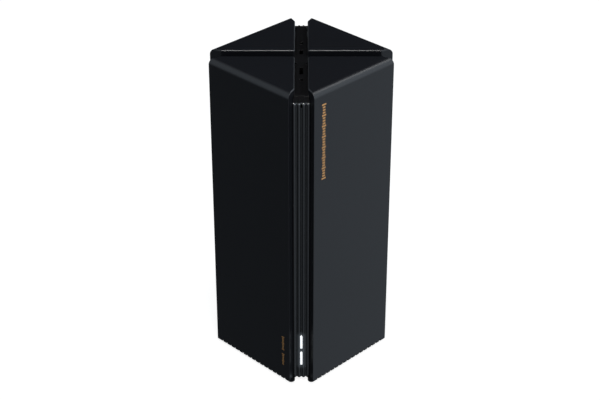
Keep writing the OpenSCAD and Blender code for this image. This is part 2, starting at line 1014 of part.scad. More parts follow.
module can_pad(at, size) {
    on_board(at[0], at[1], size[0], size[1], can_h + pad_gap, sink_gap - pad_gap);
}

// Soft pads between the cans and the front heatsink, and behind the board
module thermal_pads() {
    color(pad_blue) {
        can_pad(processor_at, processor_pad);
        can_pad(radio_5g_at, radio_pad);
        can_pad(radio_2g_at, radio_pad);
        span([rear_sink_x + pad_gap, -20, 80], [board_x - pad_gap, 12, 114]);
    }
}

// A base plate with upright fins, standing away from x = 0 in +X
module heatsink(fin_h) {
    pitch = (sink_y[1] - sink_y[0] - fin_t) / (sink_fins - 1);
    difference() {
        span([0, sink_y[0], sink_z[0]], [sink_base, sink_y[1], sink_z[1]]);
        for (hy = sink_hole_y, hz = sink_hole_z) bar_x(screw_r + thread_gap, -1, sink_base + 1, hy, hz);
    }
    for (i = [0:sink_fins - 1]) translate([0, sink_y[0] + i * pitch, 0])
        span([sink_base - lap, 0, sink_z[0] + fin_margin],
            [sink_base + fin_h, fin_t, sink_z[1] - fin_margin]);
}

module front_heatsink() {
    color(metal) translate([board_face + sink_gap, 0, 0]) heatsink(front_fin_h);
}

module rear_heatsink() {
    color(metal) translate([rear_sink_x, 0, 0]) mirror([1, 0, 0]) heatsink(rear_fin_h);
}

module heatsink_screws() {
    reach = board_face + sink_gap + 2 - (rear_sink_x - sink_base);
    color(metal) for (y = sink_hole_y, z = sink_hole_z) translate([rear_sink_x - sink_base - seat, y, z])
        rotate([0, 90, 0]) pan_screw(screw_r, pan_head_r, pan_head_h, reach);
}

// ---------- antennas ----------

// A flat antenna on the chassis wall, with a slit between its two arms
module antenna(quarter, len) {
    color(pcb_green) on_side(quarter) difference() {
        span([inside_d - antenna_t - antenna_gap, -antenna_w / 2, antenna_low],
            [inside_d - antenna_gap, antenna_w / 2, antenna_low + len]);
        span([inside_d - 2, -antenna_slit / 2, antenna_low + 5],
            [inside_d + 1, antenna_slit / 2, antenna_low + len - 7]);
    }
}

module antenna_5g_left() {
    antenna(-135, 24);
}

module antenna_2g_right() {
    antenna(-45, 32);
}

module antenna_2g_left() {
    antenna(135, 32);
}

module antenna_5g_right() {
    antenna(45, 24);
}

// A quarter bend of a round cable, from +X up to +Z about the origin
module cable_bend() {
    rotate([90, 0, 0]) rotate_extrude(angle = 90) translate([cable_bend_r, 0]) circle(cable_r);
}

// A cable that climbs from one point, runs level and drops onto another point.
// The straight lengths are a hair thicker than the bends and reach into them.
module cable_arch(from, to) {
    run = norm([to[0] - from[0], to[1] - from[1]]);
    turn = atan2(to[1] - from[1], to[0] - from[0]);
    bend_z = cable_level - cable_bend_r;
    thick = cable_r + 0.05;
    translate([from[0], from[1], 0]) rotate(turn) {
        translate([0, 0, from[2]]) cylinder(r = thick, h = bend_z + cable_lap - from[2]);
        translate([cable_bend_r, 0, bend_z]) mirror([1, 0, 0]) cable_bend();
        bar_x(thick, cable_bend_r - cable_lap, run - cable_bend_r + cable_lap, 0, cable_level);
        translate([run - cable_bend_r, 0, bend_z]) cable_bend();
        translate([run, 0, to[2]]) cylinder(r = thick, h = bend_z + cable_lap - to[2]);
    }
}

// From an antenna, up over the heatsinks and down to a plug on the board
module antenna_cable(quarter, side, y) {
    reach = inside_d - 1.55;
    mid_x = side > 0 ? board_face + plug_half + seat : board_x - plug_half - seat;
    start = [reach * cos(quarter), reach * sin(quarter), antenna_low + 12];
    cable_arch(start, [mid_x, y, antenna_plug_z + 0.8]);
    bar_x(plug_r, mid_x - plug_half, mid_x + plug_half, y, antenna_plug_z);
}

module antenna_cables() {
    color(sleeve) {
        antenna_cable(-135, -1, -antenna_plug_y);
        antenna_cable(-45, 1, -antenna_plug_y);
        antenna_cable(135, -1, antenna_plug_y);
        antenna_cable(45, 1, antenna_plug_y);
    }
}

front_left_panel();
front_right_panel();
rear_left_panel();
rear_right_panel();
chassis();
top_grille();
front_strip();
left_strip();
right_strip();
rear_strip();
io_plate();
base_plate();
foot_front();
foot_rear();
foot_left();
foot_right();
rating_label();
base_screws();
upper_light_guide();
lower_light_guide();
upper_led();
lower_led();
led_board();
led_board_screws();
led_ribbon_cable();
pairing_button();
pairing_switch_body();
pairing_switch_plunger();
reset_switch_body();
reset_switch_plunger();
main_board();
board_screws();
jack_1_shield();
jack_1_insert();
jack_1_contacts();
jack_2_shield();
jack_2_insert();
jack_2_contacts();
jack_3_shield();
jack_3_insert();
jack_3_contacts();
power_jack_body();
power_jack_pin();
processor_chip();
memory_chip();
radio_chip_5g();
radio_chip_2g();
processor_shield_can();
radio_5g_shield_can();
radio_2g_shield_can();
thermal_pads();
front_heatsink();
rear_heatsink();
heatsink_screws();
antenna_5g_left();
antenna_5g_right();
antenna_2g_left();
antenna_2g_right();
antenna_cables();
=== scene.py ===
"""Looks for the mesh wifi node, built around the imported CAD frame. Lengths are in metres.

The tower's lit front corner points to -Y. A panel's own frame has its flat side at +X, and a
corner strip's own frame has its corner at +X; both are turned into place about Z.
"""

import math

import bmesh
import bpy
from mathutils import Matrix, Vector


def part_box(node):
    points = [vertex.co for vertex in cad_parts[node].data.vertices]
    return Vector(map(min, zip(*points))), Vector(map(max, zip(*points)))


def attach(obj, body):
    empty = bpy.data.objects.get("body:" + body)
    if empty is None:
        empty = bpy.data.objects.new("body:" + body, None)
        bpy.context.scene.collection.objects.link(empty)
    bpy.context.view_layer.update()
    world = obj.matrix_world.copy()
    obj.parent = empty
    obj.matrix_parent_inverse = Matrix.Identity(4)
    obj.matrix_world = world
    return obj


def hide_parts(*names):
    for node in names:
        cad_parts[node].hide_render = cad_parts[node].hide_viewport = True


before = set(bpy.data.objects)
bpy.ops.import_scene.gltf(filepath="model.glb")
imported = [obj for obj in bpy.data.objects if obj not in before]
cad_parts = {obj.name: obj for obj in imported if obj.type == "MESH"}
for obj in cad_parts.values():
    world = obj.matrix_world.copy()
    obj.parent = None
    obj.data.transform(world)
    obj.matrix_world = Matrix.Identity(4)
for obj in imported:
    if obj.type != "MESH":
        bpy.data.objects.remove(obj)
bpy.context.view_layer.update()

MM = 0.001
MERGE = 0.002 * MM
ROOT2 = math.sqrt(2)
BODY = "tower"

# ---------- sizes read from the frame ----------

panel_low, panel_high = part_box("front_right_panel")
SHELL_LOW, SHELL_HIGH = panel_low.z, panel_high.z
SHELL_H = SHELL_HIGH - SHELL_LOW
GROOVE_V = panel_low.x
FLARE_END_U = panel_high.x
FACE_D = max(v.co.x - v.co.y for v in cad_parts["front_right_panel"].data.vertices) / ROOT2
FLARE_END_V = FACE_D * ROOT2 - FLARE_END_U
FLARE_U = 41.8 * MM
WALL = 2.2 * MM
INNER_D = FACE_D - WALL

# Roundings of the panels: top edge of a flat side, edge of a channel, foot, corner, rim of the
# top, inner apex and where the channel's wall meets its flare
TOP_R = 3.5 * MM
EDGE_R = 0.8 * MM
FOOT_R = 0.9 * MM
CORNER_R = 0.15 * MM
RIM_R = 0.4 * MM
APEX_R = 1 * MM
NEAR_R = 2 * MM
TOE_H = 0.7 * MM
TOE_EASE = 0.25 * MM
# The cutout for the socket plate: half its width, its back and its lower end
REAR_CUT_HALF = 12.7 * MM
REAR_CUT_BACK = 36.8 * MM
REAR_CUT_LOW = SHELL_LOW + 5.3 * MM
# How far a cutting shape runs past the surface that it opens
PAST = 1 * MM

strip_low, strip_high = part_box("front_strip")
STRIP_LOW, STRIP_TOP = strip_low.z, strip_high.z
# A strip's section: ridges, the plate that they stand on and the two webs behind it
RIB_COUNT = 4
RIB_R = 1.05 * MM
RIB_PITCH = 2.4 * MM
RIB_EASE, RIB_EASE_H = 0.25 * MM, 0.3 * MM
RIB_U = -strip_low.y - RIB_R
PLATE_FRONT_U = RIB_U - 0.15 * MM
PLATE_BACK_U = 41.2 * MM
WEB_BACK_U = 37 * MM
WEB_T = 1.2 * MM
PLAY = 0.2 * MM
WINDOW_R = 0.12 * MM
WINDOW_EASE = 0.06 * MM
SLOT_W, SLOT_H, SLOT_FROM_TOP = 1 * MM, 2.3 * MM, 0.8 * MM
STRIP_V = GROOVE_V - PLAY
FLARE_SLOPE = (FLARE_END_V - GROOVE_V) / (FLARE_END_U - FLARE_U)

REAR_STRIP_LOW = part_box("rear_strip")[0].z


# ---------- small mesh helpers ----------

def across(u, v):
    """A point given along a corner's diagonal and across it, in a panel's frame."""
    return Vector(((u + v) / ROOT2, (u - v) / ROOT2))


def clean(bm):
    """Merges points that coincide and removes the faces and edges that have no size."""
    bmesh.ops.remove_doubles(bm, verts=bm.verts, dist=MERGE)
    bmesh.ops.dissolve_degenerate(bm, edges=bm.edges, dist=MERGE)
    bmesh.ops.delete(bm, geom=[e for e in bm.edges if e.is_wire], context="EDGES")
    bmesh.ops.holes_fill(bm, edges=[e for e in bm.edges if e.is_boundary], sides=4)
    bmesh.ops.recalc_face_normals(bm, faces=bm.faces)


def new_object(name, bm, smooth_angle=30):
    """Makes an object from a bmesh, smooth except where faces meet at more than the angle."""
    clean(bm)
    mesh = bpy.data.meshes.new(name)
    bm.to_mesh(mesh)
    bm.free()
    shade(mesh, smooth_angle)
    obj = bpy.data.objects.new(name, mesh)
    bpy.context.scene.collection.objects.link(obj)
    return obj


def shade(mesh, angle):
    mesh.polygons.foreach_set("use_smooth", [True] * len(mesh.polygons))
    mesh.set_sharp_from_angle(angle=math.radians(angle))


def loft(rings):
    """A closed skin through rings of equally many points, with a flat cap at each end."""
    bm = bmesh.new()
    rows = [[bm.verts.new(p) for p in ring] for ring in rings]
    count = len(rows[0])
    for low, high in zip(rows, rows[1:]):
        for i in range(count):
            j = (i + 1) % count
            bm.faces.new((low[i], low[j], high[j], high[i]))
    bm.faces.new(rows[0][::-1])
    bm.faces.new(rows[-1])
    return bm


def prism(name, outline, low, high):
    """An upright prism over a flat outline."""
    return new_object(name, loft([[Vector((x, y, z)) for x, y in outline] for z in (low, high)]))


def box_solid(name, low, high):
    (x0, y0, z0), (x1, y1, z1) = low, high
    return prism(name, [(x0, y0), (x1, y0), (x1, y1), (x0, y1)], z0, z1)


def turn(obj, degrees):
    obj.data.transform(Matrix.Rotation(math.radians(degrees), 4, "Z"))
    return obj


def apply_modifiers(obj):
    graph = bpy.context.evaluated_depsgraph_get()
    mesh = bpy.data.meshes.new_from_object(obj.evaluated_get(graph), depsgraph=graph)
    obj.modifiers.clear()
    obj.data = mesh


def combine(obj, others, operation="DIFFERENCE", smooth_angle=30):
    """Cuts the others out of obj, or joins them to it, and removes them."""
    for other in others:
        step = obj.modifiers.new("combine", "BOOLEAN")
        step.operation = operation
        step.solver = "EXACT"
        step.object = other
    apply_modifiers(obj)
    for other in others:
        bpy.data.objects.remove(other)
    bm = bmesh.new()
    bm.from_mesh(obj.data)
    clean(bm)
    bm.to_mesh(obj.data)
    bm.free()
    shade(obj.data, smooth_angle)
    return obj


def rounded(corners, radii, steps):
    """The outline through the corners, each one rounded by an arc of the given steps."""
    points = []
    count = len(corners)
    for i, (corner, radius) in enumerate(zip(corners, radii)):
        before = (corners[i - 1] - corner).normalized()
        after = (corners[(i + 1) % count] - corner).normalized()
        half = before.angle(after) / 2
        centre = corner + (before + after).normalized() * (radius / math.sin(half))
        start = corner + before * (radius / math.tan(half)) - centre
        end = corner + after * (radius / math.tan(half)) - centre
        sweep = start.angle_signed(end)
        for k in range(steps + 1):
            points.append(centre + Matrix.Rotation(-sweep * k / steps, 2) @ start)
    return points


def meet(p, along_p, q, along_q):
    """Where two lines cross, each given by a point and a direction."""
    cross = along_p.x * along_q.y - along_p.y * along_q.x
    step = ((q.x - p.x) * along_q.y - (q.y - p.y) * along_q.x) / cross
    return p + along_p * step


def dress(obj, name, slot, material, *nodes, body=BODY):
    """Names a finished piece and ties it to its CAD body and its nodes; the slot argument is not used.
    """
    obj.name = name
    obj.data.materials.clear()
    obj.data.materials.append(material)
    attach(obj, body)
    if nodes:
        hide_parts(*nodes)
    return obj


# ---------- materials ----------

def tree(name):
    material = bpy.data.materials.new(name)
    material.use_nodes = True
    return material, material.node_tree.nodes, material.node_tree.links


def noise(nodes, links, scale, detail=2.0, stretch=(1, 1, 1)):
    """Noise in the object's own coordinates; scale counts features per metre."""
    where = nodes.new("ShaderNodeTexCoord")
    mapping = nodes.new("ShaderNodeMapping")
    mapping.inputs["Scale"].default_value = stretch
    texture = nodes.new("ShaderNodeTexNoise")
    texture.inputs["Scale"].default_value = scale
    texture.inputs["Detail"].default_value = detail
    links.new(where.outputs["Object"], mapping.inputs["Vector"])
    links.new(mapping.outputs["Vector"], texture.inputs["Vector"])
    return texture.outputs["Fac"]


def ramp(nodes, links, source, low, high):
    """Maps a 0 to 1 value onto the range from low to high."""
    mapped = nodes.new("ShaderNodeMapRange")
    mapped.inputs["To Min"].default_value = low
    mapped.inputs["To Max"].default_value = high
    links.new(source, mapped.inputs["Value"])
    return mapped.outputs["Result"]


def tint(nodes, links, source, dark, light):
    """Blends between two colours."""
    mix = nodes.new("ShaderNodeMix")
    mix.data_type = "RGBA"
    mix.inputs["A"].default_value = (*dark, 1)
    mix.inputs["B"].default_value = (*light, 1)
    links.new(source, mix.inputs["Factor"])
    return mix.outputs["Result"]


def surface(name, dark, light, rough, grain=2600, bump=0.05, metallic=0.0, specular=0.5,
            patch=30, stretch=(1, 1, 1)):
    """A moulded or machined surface: uneven tone, fine grain and roughness that varies."""
    material, nodes, links = tree(name)
    shader = nodes["Principled BSDF"]
    broad = noise(nodes, links, patch, 3.0)
    fine = noise(nodes, links, grain, 2.0, stretch)
    links.new(tint(nodes, links, broad, dark, light), shader.inputs["Base Color"])
    links.new(ramp(nodes, links, fine, rough - 0.05, rough + 0.05), shader.inputs["Roughness"])
    relief = nodes.new("ShaderNodeBump")
    relief.inputs["Strength"].default_value = bump
    relief.inputs["Distance"].default_value = 0.0001
    links.new(fine, relief.inputs["Height"])
    links.new(relief.outputs["Normal"], shader.inputs["Normal"])
    shader.inputs["Metallic"].default_value = metallic
    shader.inputs["Specular IOR Level"].default_value = specular
    return material


def math_node(nodes, links, operation, first, second=None):
    node = nodes.new("ShaderNodeMath")
    node.operation = operation
    for socket, value in zip(node.inputs, (first, second)):
        if isinstance(value, (int, float)):
            socket.default_value = value
        elif value is not None:
            links.new(value, socket)
    return node.outputs["Value"]


def spill(nodes, links, node, reach):
    """How close a point is to a lit window: 1 beside it, fading to 0 at the given reach."""
    low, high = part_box(node)
    where = nodes.new("ShaderNodeTexCoord")
    parts = nodes.new("ShaderNodeSeparateXYZ")
    links.new(where.outputs["Object"], parts.inputs["Vector"])
    up = math_node(nodes, links, "SUBTRACT", parts.outputs["Z"], (low.z + high.z) / 2)
    beyond = math_node(nodes, links, "SUBTRACT", math_node(nodes, links, "ABSOLUTE", up),
                       (high.z - low.z) / 2)
    over = math_node(nodes, links, "MAXIMUM", beyond, 0.0)
    squares = [math_node(nodes, links, "POWER", axis, 2.0)
               for axis in (math_node(nodes, links, "ABSOLUTE", parts.outputs["X"]), over)]
    distance = math_node(nodes, links, "SQRT", math_node(nodes, links, "ADD", *squares))
    fade = nodes.new("ShaderNodeMapRange")
    fade.interpolation_type = "SMOOTHERSTEP"
    fade.inputs["From Min"].default_value = reach
    fade.inputs["From Max"].default_value = 0.0
    links.new(distance, fade.inputs["Value"])
    return fade.outputs["Result"]


GLOW_COLOUR = (0.75, 0.87, 1, 1)


def add_spill(material, windows, reach, strength):
    """Light from the windows that scatters in the plastic around them."""
    nodes, links = material.node_tree.nodes, material.node_tree.links
    total = 0.0
    for node in windows:
        total = math_node(nodes, links, "ADD", spill(nodes, links, node, reach), total)
    shader = nodes["Principled BSDF"]
    shader.inputs["Emission Color"].default_value = GLOW_COLOUR
    links.new(math_node(nodes, links, "MULTIPLY", total, strength), shader.inputs["Emission Strength"])
    return material


def strip_plastic(name):
    """The strips' plastic, with a painted glint: a strong coat only on the domes where the ridges end.
    """
    material = surface(name, (0.010, 0.0105, 0.012), (0.0115, 0.0125, 0.0145), 0.2, bump=0.04,
                       specular=0.7)
    nodes, links = material.node_tree.nodes, material.node_tree.links
    where = nodes.new("ShaderNodeTexCoord")
    parts = nodes.new("ShaderNodeSeparateXYZ")
    links.new(where.outputs["Object"], parts.inputs["Vector"])
    # Painted highlight: a very reflective coat on the ridge-tip domes alone, so that the overhead
    # lamp's glints there come out bright
    glint_coat = nodes.new("ShaderNodeMapRange")
    glint_coat.inputs["From Min"].default_value = STRIP_TOP - RIB_R
    glint_coat.inputs["From Max"].default_value = STRIP_TOP - 0.8 * RIB_R
    links.new(parts.outputs["Z"], glint_coat.inputs["Value"])
    shader = nodes["Principled BSDF"]
    links.new(glint_coat.outputs["Result"], shader.inputs["Coat Weight"])
    shader.inputs["Coat IOR"].default_value = 3.8
    shader.inputs["Coat Roughness"].default_value = 0.22
    return material


def glowing(name, colour, strength):
    """A lit plastic window, a touch cooler towards its ends."""
    material, nodes, links = tree(name)
    shader = nodes["Principled BSDF"]
    shade_of_white = tint(nodes, links, noise(nodes, links, 300, 1.0), colour, (1, 1, 1))
    links.new(shade_of_white, shader.inputs["Emission Color"])
    links.new(shade_of_white, shader.inputs["Base Color"])
    shader.inputs["Emission Strength"].default_value = strength
    shader.inputs["Roughness"].default_value = 0.3
    return material


PANEL = surface("panel_plastic", (0.0026, 0.003, 0.0045), (0.0034, 0.004, 0.006), 0.38, bump=0.12)
STRIP = strip_plastic("strip_plastic")
LIT_STRIP = add_spill(strip_plastic("lit_strip_plastic"), ("upper_light_guide", "lower_light_guide"),
                      3.6 * MM, 0.04)
GRILLE = surface("grille_plastic", (0.0025, 0.0025, 0.003), (0.0035, 0.0035, 0.004), 0.42, bump=0.1,
                 specular=0.25)
INNER = surface("inner_plastic", (0.009, 0.009, 0.010), (0.012, 0.012, 0.013), 0.5, bump=0.12)
BUTTON = surface("button_plastic", (0.014, 0.014, 0.016), (0.018, 0.018, 0.02), 0.38)
RUBBER = surface("rubber", (0.018, 0.018, 0.018), (0.026, 0.026, 0.026), 0.8, 1800, 0.3)
LABEL = surface("label_film", (0.42, 0.42, 0.40), (0.50, 0.50, 0.48), 0.55, 1500, 0.05)
STEEL = surface("bright_steel", (0.50, 0.51, 0.53), (0.62, 0.63, 0.65), 0.28, 900, 0.05, 1.0,
                stretch=(1, 1, 0.1))
GOLD_CONTACT = surface("gold_plate", (0.72, 0.50, 0.20), (0.86, 0.64, 0.30), 0.22, 900, 0.03, 1.0)
ALUMINIUM = surface("extruded_aluminium", (0.58, 0.59, 0.60), (0.70, 0.71, 0.72), 0.35, 1200, 0.1,
                    1.0, stretch=(1, 1, 0.02))
BOARD = surface("solder_mask", (0.012, 0.07, 0.035), (0.02, 0.10, 0.05), 0.35, 700, 0.08)
CHIP = surface("moulding_compound", (0.016, 0.016, 0.017), (0.024, 0.024, 0.025), 0.6, 2200, 0.2)
PLUNGER = surface("natural_plastic", (0.46, 0.43, 0.35), (0.58, 0.54, 0.46), 0.45)
PAD = surface("silicone_pad", (0.24, 0.36, 0.46), (0.32, 0.44, 0.54), 0.7, 1500, 0.3)
SLEEVE = surface("cable_sleeve", (0.03, 0.03, 0.032), (0.05, 0.05, 0.052), 0.45)
PHOSPHOR = surface("phosphor", (0.75, 0.65, 0.30), (0.85, 0.76, 0.40), 0.4)
MARK = surface("printed_gold", (0.60, 0.30, 0.10), (0.72, 0.38, 0.14), 0.4, 1800, 0.05, 0.5)
LIT = glowing("lit_window", (0.90, 0.95, 1.0), 0.85)


# ---------- panels ----------

def panel_outline(face_in, flare_in, groove_in):
    """The panel's plan, each kind of side moved inwards by its own amount."""
    near, far = across(FLARE_U, GROOVE_V), across(FLARE_END_U, FLARE_END_V)
    slope = (far - near).normalized()
    inward = Vector((slope.y, -slope.x))
    groove_point = across(FLARE_U, GROOVE_V + groove_in)
    groove_along = Vector((1, 1)).normalized()
    face_x = FACE_D - face_in
    near_in = meet(groove_point, groove_along, near + inward * flare_in, slope)
    far_in = meet(near + inward * flare_in, slope, Vector((face_x, 0)), Vector((0, 1)))
    apex = Vector(((GROOVE_V + groove_in) * ROOT2, 0))
    corners = [apex, near_in, far_in, Vector((far_in.x, -far_in.y)), Vector((near_in.x, -near_in.y))]
    return rounded(corners, [APEX_R, NEAR_R, CORNER_R, CORNER_R, NEAR_R], 5)


def toe_outline(inset):
    """The plan of the toes: the channel's walls run on to the flat side and end in a round nose."""
    face_x = FACE_D - inset
    wall_v = GROOVE_V + inset
    corner_u = face_x * ROOT2 - wall_v
    nose_r = (corner_u - FLARE_END_U + inset) / ROOT2
    back, corner = across(WEB_BACK_U, wall_v), across(corner_u, wall_v)
    corners = [back, corner, Vector((corner.x, -corner.y)), Vector((back.x, -back.y))]
    return rounded(corners, [0.1 * MM, nose_r, nose_r, 0.1 * MM], 10)


def arc_inset(depth, radius):
    """How far a rounded edge has drawn in, at a depth below its flat."""
    if depth >= radius:
        return 0.0
    return radius - math.sqrt(radius ** 2 - (radius - depth) ** 2)


def panel_levels():
    """Heights of the rings: close together in the rounded foot and the rounded top."""
    foot = [FOOT_R * (1 - math.cos(math.radians(a))) for a in range(0, 91, 18)]
    top = [SHELL_H - TOP_R * (1 - math.sin(math.radians(a))) for a in range(0, 61, 6)]
    rim = [SHELL_H - RIM_R * (1 - math.sin(math.radians(a))) for a in range(0, 91, 15)]
    return foot + [SHELL_H / 2] + top + rim


def panel_skin():
    rings = []
    for z in panel_levels():
        from_top, from_foot = SHELL_H - z, z
        foot_in = arc_inset(from_foot, FOOT_R)
        outline = panel_outline(
            arc_inset(from_top, TOP_R) + foot_in,
            arc_inset(from_top, EDGE_R) + foot_in,
            arc_inset(from_top, EDGE_R) + foot_in,
        )
        rings.append([Vector((p.x, p.y, z + SHELL_LOW)) for p in outline])
    return loft(rings)


def toe_skin():
    """The toes' low block, eased at its foot and a little at its top."""
    shoulder = TOE_H - TOE_EASE
    rings = []
    for angle in range(0, 91, 18):
        z = FOOT_R * (1 - math.cos(math.radians(angle)))
        if z < shoulder:
            rings.append((z, arc_inset(z, FOOT_R)))
    level = arc_inset(shoulder, FOOT_R)
    rings += [(shoulder, level), (TOE_H - TOE_EASE / 3, level + TOE_EASE / 3),
              (TOE_H, level + TOE_EASE)]
    return loft([[Vector((p.x, p.y, z + SHELL_LOW)) for p in toe_outline(inset)] for z, inset in rings])


def panel_hollow():
    """The two parts of the hollow, as in the CAD panel."""
    return_u, return_v, return_z = 37 * MM, GROOVE_V + WALL, SHELL_HIGH - 7 * MM
    inner, step = across(return_u, 0), across(return_u, return_v)
    last = across(INNER_D * ROOT2 - return_v, return_v)
    low = [Vector((0, 0)), inner, step, last]
    low += [Vector((p.x, -p.y)) for p in (last, step, inner)]
    step_in = 0.05 * MM
    tip = across((INNER_D - step_in) * ROOT2 - return_v - step_in, return_v + step_in)
    high = [Vector(((return_v + step_in) * ROOT2, 0)), tip, Vector((tip.x, -tip.y))]
    return [
        prism("hollow_low", low, SHELL_LOW - PAST, return_z),
        prism("hollow_high", high, return_z - PAST, SHELL_HIGH - WALL),
    ]


def panel_notches():
    """The gaps between the teeth along the lower edge."""
    teeth, pitch, width, height = 15, 3.36 * MM, 1.3 * MM, 1.5 * MM
    cuts = []
    for i in range(teeth + 1):
        y = (i - teeth / 2) * pitch
        low = (INNER_D - PAST, y - width / 2, SHELL_LOW - PAST)
        cuts.append(box_solid("notch", low, (FACE_D + PAST, y + width / 2, SHELL_LOW + height)))
    return cuts


def build_panel(node, quarter, rear):
    panel = new_object(node, panel_skin())
    combine(panel, [new_object("toes", toe_skin())], "UNION")
    combine(panel, panel_hollow() + panel_notches())
    turn(panel, quarter)
    if rear:
        low = (-REAR_CUT_HALF, REAR_CUT_BACK, REAR_CUT_LOW)
        high = (REAR_CUT_HALF, FACE_D * ROOT2, REAR_STRIP_LOW - PLAY)
        combine(panel, [box_solid("rear_cut", low, high)])
    normals = panel.modifiers.new("normals", "WEIGHTED_NORMAL")
    normals.keep_sharp = True
    normals.weight = 100
    return dress(panel, node + "_shell", "panel_plastic", PANEL, node)


# ---------- corner strips ----------

RIB_CENTRES = [(i - (RIB_COUNT - 1) / 2) * RIB_PITCH for i in range(RIB_COUNT)]


def strip_samples():
    """Where the strip's front is sampled across its width."""
    samples = []
    for centre in RIB_CENTRES:
        samples += [centre + RIB_R * math.sin(math.radians(a)) for a in range(-84, 85, 14)]
    return samples


def strip_front(across_v, rib_r):
    """The front's distance from the centre line, for ridges of the given radius."""
    best = PLATE_FRONT_U
    for centre in RIB_CENTRES:
        reach = rib_r ** 2 - (across_v - centre) ** 2
        if reach > 0:
            best = max(best, RIB_U + math.sqrt(reach))
    return best


def strip_ring(z, rib_r):
    """The strip's section: ridged front, flared sides and two webs behind."""
    front = []
    for v in strip_samples():
        u = strip_front(v, rib_r)
        limit = STRIP_V + (u - FLARE_U) * FLARE_SLOPE
        front.append((u, max(-limit, min(limit, v))))
    inner_v = STRIP_V - WEB_T
    back = [
        (FLARE_U, STRIP_V), (WEB_BACK_U, STRIP_V), (WEB_BACK_U, inner_v), (PLATE_BACK_U, inner_v),
        (PLATE_BACK_U, -inner_v), (WEB_BACK_U, -inner_v), (WEB_BACK_U, -STRIP_V), (FLARE_U, -STRIP_V),
    ]
    return [Vector((u, v, z)) for u, v in front + back]


def strip_skin(low):
    rib_top = STRIP_TOP - RIB_R
    rings = [strip_ring(low, RIB_R - RIB_EASE), strip_ring(low + RIB_EASE_H, RIB_R)]
    for angle in range(0, 91, 10):
        rise = RIB_R * math.sin(math.radians(angle))
        rings.append(strip_ring(rib_top + rise, RIB_R * math.cos(math.radians(angle))))
    return loft(rings)


def bar_outline(width, height, z):
    """An upright bar's section across X and Z, with its corners eased."""
    x, h = width / 2, height / 2
    corners = [Vector((-x, z - h)), Vector((x, z - h)), Vector((x, z + h)), Vector((-x, z + h))]
    return rounded(corners, [WINDOW_R] * 4, 5)


def bar_skin(rings):
    """A bar along Y through rings, each given by its place, width, height and centre height."""
    return loft([[Vector((p.x, y, p.y)) for p in bar_outline(width, height, z)]
                 for y, width, height, z in rings])


def window_cuts():
    """The openings in the front strip: two for the windows and a slot below the ridges' tips."""
    front, back = -RIB_U - 2 * RIB_R, -PLATE_BACK_U + PAST
    cuts = []
    for node in ("upper_light_guide", "lower_light_guide"):
        low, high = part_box(node)
        size = high - low
        sides = (size.x + PLAY, size.z + PLAY, (low.z + high.z) / 2)
        cuts.append(new_object("window", bar_skin([(front, *sides), (back, *sides)])))
    low = (-SLOT_W / 2, front, STRIP_TOP - SLOT_FROM_TOP - SLOT_H)
    cuts.append(box_solid("slot", low, (SLOT_W / 2, back, STRIP_TOP - SLOT_FROM_TOP)))
    return cuts


def build_strip(node, degrees, low):
    strip = turn(new_object(node, strip_skin(low), 40), degrees)
    if node == "front_strip":
        combine(strip, window_cuts(), smooth_angle=40)
    material = LIT_STRIP if node == "front_strip" else STRIP
    return dress(strip, node + "_ribbed", "strip_plastic", material, node)


# ---------- status windows and printed marks ----------

def build_window(node):
    """A lit window with a slightly eased front edge."""
    low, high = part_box(node)
    size = high - low
    levels = ((high.y, 0), (low.y + WINDOW_EASE, 0), (low.y + WINDOW_EASE / 3, WINDOW_EASE / 2),
              (low.y, WINDOW_EASE))
    rings = []
    for y, inset in levels:
        rings.append((y, size.x - 2 * inset, size.z - 2 * inset, (low.z + high.z) / 2))
    return dress(new_object(node, bar_skin(rings)), node + "_lens", "light_guide", LIT, node)


def mark_bar(bm, y, z, width, height):
    """One printed bar on a flat side, in the panel's frame."""
    proud, sunk = 0.02 * MM, 0.03 * MM
    size = Vector((proud + sunk, width, height))
    made = bmesh.ops.create_cube(bm, size=1)["verts"]
    bmesh.ops.scale(bm, vec=size, verts=made)
    bmesh.ops.translate(bm, vec=(FACE_D + (proud - sunk) / 2, y, z), verts=made)


def build_marks(name, quarter, y, z_top, length, width, count):
    """A column of plain ticks, each fourth one long, which stands in for the printed lettering."""
    bm = bmesh.new()
    pitch = length / count
    for i in range(count):
        reach = width if i % 4 == 0 else width * 0.65
        mark_bar(bm, y, z_top - (i + 0.5) * pitch, reach, pitch * 0.55)
    marks = new_object(name, bm)
    turn(marks, quarter)
    return dress(marks, name, "label", MARK)


# ---------- stage ----------

# Brightness of the room that the tower reflects, from its left side (0) to its right side (1)
FLOOR_LEVELS = {0.05: 0.055, 0.35: 0.28, 0.5: 0.38, 0.95: 0.56}
WALL_LEVELS = {0.17: 0.68, 0.32: 0.01, 0.68: 0.01, 0.83: 1.4}
FLOOR_HALF = 6
FLOOR_DROP = 0.05 * MM


def build_floor():
    """A pale floor just below the feet, white to the camera apart from a faint shadow."""
    bm = bmesh.new()
    bmesh.ops.create_grid(bm, x_segments=8, y_segments=8, size=FLOOR_HALF)
    bmesh.ops.translate(bm, vec=(0, 0, -FLOOR_DROP), verts=bm.verts)
    floor = new_object("floor", bm)
    material, nodes, links = tree("pale_floor")
    nodes.remove(nodes["Principled BSDF"])
    shadowed = nodes.new("ShaderNodeBsdfDiffuse")
    tone = tint(nodes, links, noise(nodes, links, 3, 2.0), (0.16, 0.16, 0.16), (0.18, 0.18, 0.18))
    links.new(tone, shadowed.inputs["Color"])
    even = nodes.new("ShaderNodeEmission")
    even.inputs["Strength"].default_value = 0.90
    both = nodes.new("ShaderNodeAddShader")
    links.new(shadowed.outputs["BSDF"], both.inputs[0])
    links.new(even.outputs["Emission"], both.inputs[1])
    links.new(both.outputs["Shader"], nodes["Material Output"].inputs["Surface"])
    floor.data.materials.append(material)
    floor.visible_glossy = False
    floor.visible_diffuse = False
    return floor


